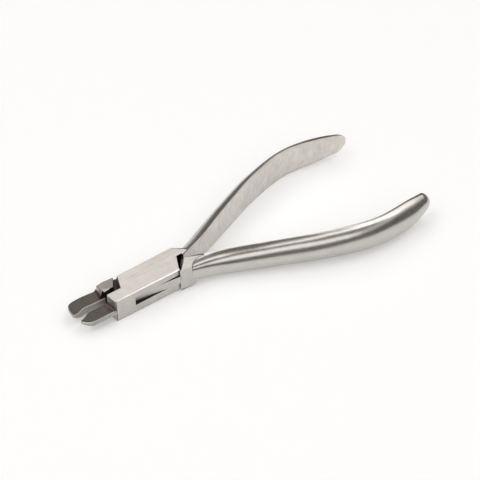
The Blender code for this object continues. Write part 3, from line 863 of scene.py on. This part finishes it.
# %% [markdown]
# The pliers lie on a white sheet. They touch it with the box's front edge and with the
# two handles, which are higher than the box, so the sheet is tipped a little against the
# frame. It runs through two points, and the handles sink into it by 0.1 mm at most. A
# large plain sheet has no horizon in the camera's view.

# %% The white sheet
SHEET_SIZE = 6.0                      # metres
SHEET_GAP = 0.02                      # the sheet passes this much below the two points
LOWEST_HANDLE = (68.0, -1.90)         # x and z near the handles' lowest point
FRONT_EDGE = (-19.4, 0.0)             # x and z of the box's lower front edge
tip = (LOWEST_HANDLE[1] - FRONT_EDGE[1]) / (LOWEST_HANDLE[0] - FRONT_EDGE[0])
corner_xy = np.array([(-1, -1), (1, -1), (1, 1), (-1, 1)]) * SHEET_SIZE / 2
corner_z = (FRONT_EDGE[1] - SHEET_GAP) * MM + (corner_xy[:, 0] - FRONT_EDGE[0] * MM) * tip
sheet_mesh = bpy.data.meshes.new("white_sheet")
sheet_mesh.from_pydata(np.column_stack([corner_xy, corner_z]).tolist(), [], [(0, 1, 2, 3)])
white_sheet = bpy.data.objects.new("white_sheet", sheet_mesh)
bpy.context.scene.collection.objects.link(white_sheet)
PAPER = (0.80, 0.802, 0.806, 1)
PAPER_GLOW = 0.27                     # plain light added where the sheet is looked at


def white_paper():
    """Lit paper, and a glow on top where the camera, a reflection or a refraction sees it."""
    material = bpy.data.materials.new("white_paper")
    material.use_nodes = True
    nodes, links = material.node_tree.nodes, material.node_tree.links
    lit = nodes["Principled BSDF"]
    lit.inputs["Base Color"].default_value = PAPER
    lit.inputs["Roughness"].default_value = 0.8
    lit.inputs["Specular IOR Level"].default_value = 0.1
    path = nodes.new("ShaderNodeLightPath")
    seen = nodes.new("ShaderNodeMath")
    seen.operation = "MAXIMUM"
    seen_through = nodes.new("ShaderNodeMath")
    seen_through.operation = "MAXIMUM"
    strength = nodes.new("ShaderNodeMath")
    strength.operation = "MULTIPLY"
    strength.inputs[1].default_value = PAPER_GLOW
    glow = nodes.new("ShaderNodeEmission")
    glow.inputs["Color"].default_value = (1, 1, 1, 1)
    both = nodes.new("ShaderNodeAddShader")
    links.new(path.outputs["Is Camera Ray"], seen.inputs[0])
    links.new(path.outputs["Is Glossy Ray"], seen.inputs[1])
    links.new(seen.outputs[0], seen_through.inputs[0])
    links.new(path.outputs["Is Transmission Ray"], seen_through.inputs[1])
    links.new(seen_through.outputs[0], strength.inputs[0])
    links.new(strength.outputs[0], glow.inputs["Strength"])
    links.new(lit.outputs["BSDF"], both.inputs[0])
    links.new(glow.outputs["Emission"], both.inputs[1])
    links.new(both.outputs["Shader"], nodes["Material Output"].inputs["Surface"])
    return material


sheet_mesh.materials.append(white_paper())

# %% [markdown]
# Polished steel shows its surroundings, so the lamps are laid out like a photographer's
# softboxes, by the height and the heading at which the photograph shows a bright band.
# A lamp's face is as bright as its power divided by its area and by pi.

# %% Studio light
AIM = np.array((40.0, 0.0, MIDDLE)) * MM  # where every lamp points
LAMP_DISTANCE = 2.0                   # metres
SKY_COLOUR = (0.151, 0.138, 0.125, 1)


def softbox(name, azimuth, low, high, width, glow):
    """A rectangular lamp that fills the sky from low to high degrees and glows evenly.

    Its power is the glow times pi times its area, which makes its face that bright.
    """
    a, h = math.radians(azimuth), math.radians((low + high) / 2)
    outward = np.array((math.cos(h) * math.cos(a), math.cos(h) * math.sin(a), math.sin(h)))
    lamp = bpy.data.lights.new(name, "AREA")
    lamp.shape = "RECTANGLE"
    lamp.size = width
    lamp.size_y = 2 * LAMP_DISTANCE * math.tan(math.radians(high - low) / 2)
    lamp.energy = glow * math.pi * lamp.size * lamp.size_y
    item = bpy.data.objects.new(name, lamp)
    bpy.context.scene.collection.objects.link(item)
    side = np.array((-math.sin(a), math.cos(a), 0.0))
    place(item, [side, np.cross(outward, side), outward], AIM + outward * LAMP_DISTANCE)


# name, heading, lower and upper edge in degrees, width in metres, glow
softbox("low_near_softbox", -122, 26, 46, 2.7, 1.47)
softbox("high_near_softbox", -62, 61, 73, 1.5, 1.78)
softbox("right_strip", -11, 30, 70, 0.95, 1.69)
softbox("right_softbox", -48, 27, 48, 2.0, 0.53)
softbox("far_softbox", 76, 36, 62, 1.6, 1.51)
softbox("left_softbox", 170, 35, 70, 1.6, 2.31)
softbox("top_strip", 28, 46, 66, 1.1, 1.07)
world = bpy.data.worlds.new("studio")
bpy.context.scene.world = world
world.use_nodes = True
background = world.node_tree.nodes["Background"]
background.inputs["Color"].default_value = SKY_COLOUR
background.inputs["Strength"].default_value = 1.0
bpy.context.scene.view_settings.view_transform = "Standard"
